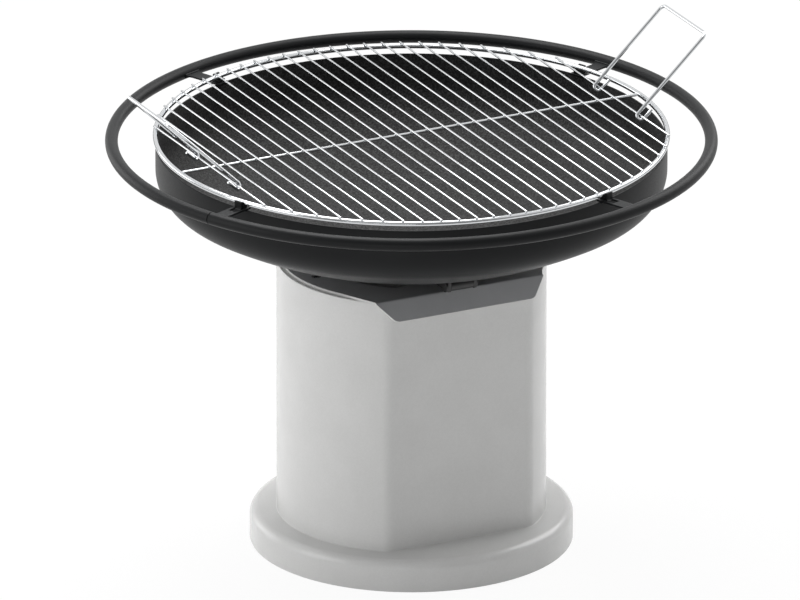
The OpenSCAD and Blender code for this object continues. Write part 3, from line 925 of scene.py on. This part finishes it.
class BendHandles(bpy.types.Operator):
    """Bends the two bail handles out of round wire, each with an eye and a tail at both ends"""

    bl_idname = "grill.bend_handles"
    bl_label = "Bail handles"

    def execute(self, context):
        settings = context.scene.grill
        s = settings.bail
        grid = settings.grid
        eye_side = grid.wire + s.wire + s.eye_gap
        eye_r = eye_side / cos(s.eye_slant)
        eye_shift = eye_r * sin(s.eye_slant)
        leg = s.length - s.corner
        grip = s.width - 2 * s.corner
        hinge = Vector((grid.per_side * grid.pitch, -s.front,
                        grid.ring_z + grid.ring_wire + grid.wire))
        at = (Matrix.Translation(hinge) @ Matrix.Rotation(pi / 2 - s.rise, 4, "Y")
              @ Matrix.Rotation(pi / 2, 4, "Z")
              @ Matrix.Translation((s.width / 2 - 2 * eye_shift, -eye_side, s.tail))
              @ Matrix.Rotation(pi, 4, "X") @ Matrix.Rotation(s.eye_slant - pi / 2, 4, "Z"))
        first = open_piece("handle")
        sides = 24
        bpy.ops.mesh.primitive_circle_add(vertices=sides, radius=s.wire, fill_type="NGON",
                                          location=at.translation, rotation=at.to_euler())
        # Each step is a straight run, or a bend by a radius and an angle, or a roll of the wire
        steps = [("run", s.tail), ("bend", eye_r, pi), ("run", leg), ("roll", s.eye_slant - pi / 2),
                 ("bend", s.corner, pi / 2), ("run", grip), ("bend", s.corner, pi / 2),
                 ("run", leg), ("roll", s.eye_slant + pi / 2), ("bend", eye_r, pi),
                 ("run", s.tail)]
        for kind, *values in steps:
            if kind == "run":
                step = Matrix.Translation((0, 0, values[0]))
                move(*(at.to_3x3() @ Vector((0, 0, values[0]))))
            elif kind == "roll":
                step = Matrix.Rotation(values[0], 4, "Z")
            else:
                radius, turn = values
                centre = at @ Vector((radius, 0, 0))
                swing(turn, round(degrees(turn) / 7.5), centre, at.to_3x3() @ Vector((0, 1, 0)))
                step = (Matrix.Translation((radius, 0, 0)) @ Matrix.Rotation(turn, 4, "Y")
                        @ Matrix.Translation((-radius, 0, 0)))
            at = at @ step
        merge_doubles()
        pick("FACE", lambda f: len(f.verts) == sides)
        bpy.ops.mesh.bevel(offset=0.5 * MM, segments=2, affect="EDGES")
        merge_doubles()
        bpy.ops.object.mode_set(mode="OBJECT")
        for side, mirror in (("right", 1), ("left", -1)):
            node = "handle_" + side
            piece = copy_piece(first, node + "_bent", Matrix.Scale(mirror, 4, ALONG_X))
            close_piece(piece, side + "_bail", bright_chrome(settings.finish), [node],
                        smooth=50)
        bpy.data.objects.remove(first)
        return {"FINISHED"}


class FinishSmallParts(bpy.types.Operator):
    """Gives the hinge parts, rests, screws and sleeves of the frame their finishes"""

    bl_idname = "grill.finish_small_parts"
    bl_label = "Hinge, rests and screws"

    def execute(self, context):
        finish = context.scene.grill.finish
        finishes = {
            "screw_sleeves": zinc_plate, "plate_screws": blackened_steel,
            "hinge_knuckle": blackened_steel, "hinge_pin": blackened_steel,
            "pin_retaining_ring": blackened_steel, "rest_buffers": moulded_rubber,
            "rest_posts": blackened_steel,
        }
        for name, make in finishes.items():
            for slot in frame["nodes"][name].material_slots:
                slot.material = make(finish)
        return {"FINISHED"}


# Stage

# The photograph's view, from so far away that upright lines stay nearly parallel
VIEW_TURN = radians(-26.3)
VIEW_RISE = radians(20.69)
VIEW_DISTANCE = 40
VIEW_WIDTH = 1.24254  # of the picture, at the object's axis
VIEW_ASIDE = -0.0177  # the picture's middle, beside the axis and above the ground
VIEW_HEIGHT = 0.3893
SENSOR = 36

FLOOR_WIDTH = 16
FLOOR_GLOW = 0.93  # how far the floor reads white; the rest takes the object's shadow
MIRRORED_DIM = 0.3  # of the unlit side of the studio, as metal mirrors it
AMBIENT_SHARE = 0.42
AMBIENT_LEAST = 0.1


class SetStage(bpy.types.Operator):
    """Sets the pale floor, the soft studio light and the camera"""

    bl_idname = "grill.set_stage"
    bl_label = "Floor, light and camera"

    def execute(self, context):
        scene = context.scene
        scene.view_settings.view_transform = "Standard"
        self.set_world(scene)
        self.set_floor(scene.grill.finish)
        # Soft lamps from the left, from behind on both sides, low in front and from above
        self.lamp("key_left", (-3.7, 0.2, 1.4), (0, 0, 0.4), 2.4, 37)
        self.lamp("rim_left", (-1.8, 3.1, 0.9), (0, 0, 0.3), 2.0, 24)
        self.lamp("rim_right", (2.75, 0.9, 2.6), (0, 0, 0.2), 2.4, 60)
        self.lamp("front_low", (-2.2, -2.7, 0.35), (0, 0, 0.3), 1.8, 15)
        self.lamp("top_soft", (0.0, 1.1, 3.1), (0, 0, 0.6), 2.0, 85)
        self.set_camera(scene)
        return {"FINISHED"}

    def set_world(self, scene):
        """White to the camera; to metal and as light, dimmer on the camera's side."""
        world = bpy.data.worlds.new("studio")
        scene.world = world
        world.use_nodes = True
        world.node_tree.nodes.clear()
        way = add(world, "TexCoord").outputs["Generated"]
        # The unlit side of the studio lies behind the camera
        front = (sin(VIEW_TURN), -cos(VIEW_TURN), 0)
        facing = add(world, "VectorMath", {0: way, 1: front}, operation="DOT_PRODUCT")
        dim = remap(world, facing.outputs["Value"], 0.1, 0.85, 1, MIRRORED_DIM)
        rays = add(world, "LightPath")
        share = add(world, "Math", {0: dim, 1: AMBIENT_SHARE, 2: AMBIENT_LEAST},
                    operation="MULTIPLY_ADD")
        ambient, mirrored, white = [
            add(world, "Background", {"Color": WHITE, "Strength": strength})
            for strength in (share.outputs[0], dim, 1)]
        inner = add(world, "MixShader", {0: rays.outputs["Is Glossy Ray"],
                                         1: ambient.outputs[0], 2: mirrored.outputs[0]})
        seen = add(world, "Math", {0: rays.outputs["Is Camera Ray"],
                                   1: rays.outputs["Is Transmission Ray"]}, operation="MAXIMUM")
        outer = add(world, "MixShader", {0: seen.outputs[0], 1: inner.outputs[0],
                                         2: white.outputs[0]})
        add(world, "OutputWorld", {"Surface": outer.outputs[0]})

    def set_floor(self, finish):
        """A pale floor that reads white and keeps a faint shadow."""
        bpy.ops.object.select_all(action="DESELECT")
        bpy.ops.mesh.primitive_plane_add(size=FLOOR_WIDTH, location=(0, 0, 0))
        floor = bpy.context.object
        floor.name = "studio_floor"
        made, _ = new_finish("matt_white_floor")
        rays = add(made, "LightPath")
        seen = add(made, "Math", {0: rays.outputs["Is Camera Ray"],
                                  1: rays.outputs["Is Glossy Ray"]}, operation="MAXIMUM")
        clear = add(made, "Math", {0: seen.outputs[0], 1: rays.outputs["Is Transmission Ray"]},
                    operation="MAXIMUM")
        share = add(made, "Math", {0: clear.outputs[0], 1: FLOOR_GLOW}, operation="MULTIPLY")
        matt = add(made, "BsdfDiffuse", {"Color": opaque(finish.floor)})
        glow = add(made, "Emission", {"Color": WHITE, "Strength": 1})
        show(made, add(made, "MixShader", {0: share.outputs[0], 1: matt.outputs[0],
                                           2: glow.outputs[0]}))
        floor.data.materials.append(made)

    def lamp(self, name, place, target, width, power):
        """A soft square lamp that faces the object."""
        light = bpy.data.lights.new(name, "AREA")
        light.shape = "SQUARE"
        light.size = width
        light.energy = power
        lamp = bpy.data.objects.new(name, light)
        bpy.context.scene.collection.objects.link(lamp)
        lamp.location = place
        lamp.rotation_euler = (Vector(target) - Vector(place)).to_track_quat("-Z", "Y").to_euler()

    def set_camera(self, scene):
        """The camera far away on the photograph's line of sight."""
        data = bpy.data.cameras.new("camera")
        data.sensor_width = SENSOR
        data.lens = SENSOR * VIEW_DISTANCE / VIEW_WIDTH
        data.clip_start = 0.1
        data.clip_end = 10 * VIEW_DISTANCE
        camera = bpy.data.objects.new("camera", data)
        scene.collection.objects.link(camera)
        back = Vector((sin(VIEW_TURN) * cos(VIEW_RISE), -cos(VIEW_TURN) * cos(VIEW_RISE),
                       sin(VIEW_RISE)))
        sideways = Vector((cos(VIEW_TURN), sin(VIEW_TURN), 0))
        target = VIEW_ASIDE * sideways + Vector((0, 0, VIEW_HEIGHT))
        camera.location = target + VIEW_DISTANCE * back
        camera.rotation_euler = (-back).to_track_quat("-Z", "Y").to_euler()
        scene.camera = camera


OPERATORS = [CastPedestal, FoldTopPlate, DishFireBowl, BendRingRail, CutBrackets, ShapeHingeEars,
             WeldGrid, BendHandles, FinishSmallParts, SetStage]


class GrillPanel(bpy.types.Panel):
    """Lists the grill's pieces"""

    bl_idname = "VIEW3D_PT_grill"
    bl_label = "Fire bowl grill"
    bl_space_type = "VIEW_3D"
    bl_region_type = "UI"
    bl_category = "Fire bowl"

    def draw(self, context):
        for operator in OPERATORS:
            self.layout.operator(operator.bl_idname)
        for name in GrillSettings.__annotations__:
            group = getattr(context.scene.grill, name)
            box = self.layout.box()
            for setting in type(group).__annotations__:
                box.prop(group, setting)


CLASSES = [PedestalSizes, PlateSizes, BowlSizes, RailSizes, HingeSizes, GridSizes, BailSizes,
           Finishes, GrillSettings, *OPERATORS, GrillPanel]


def register():
    for listed in CLASSES:
        bpy.utils.register_class(listed)
    bpy.types.Scene.grill = PointerProperty(type=GrillSettings)


def unregister():
    del bpy.types.Scene.grill
    for listed in reversed(CLASSES):
        bpy.utils.unregister_class(listed)


def main():
    """Makes every piece and the stage."""
    register()
    for operator in OPERATORS:
        group, name = operator.bl_idname.split(".")
        getattr(getattr(bpy.ops, group), name)()


if __name__ == "__main__":
    main()
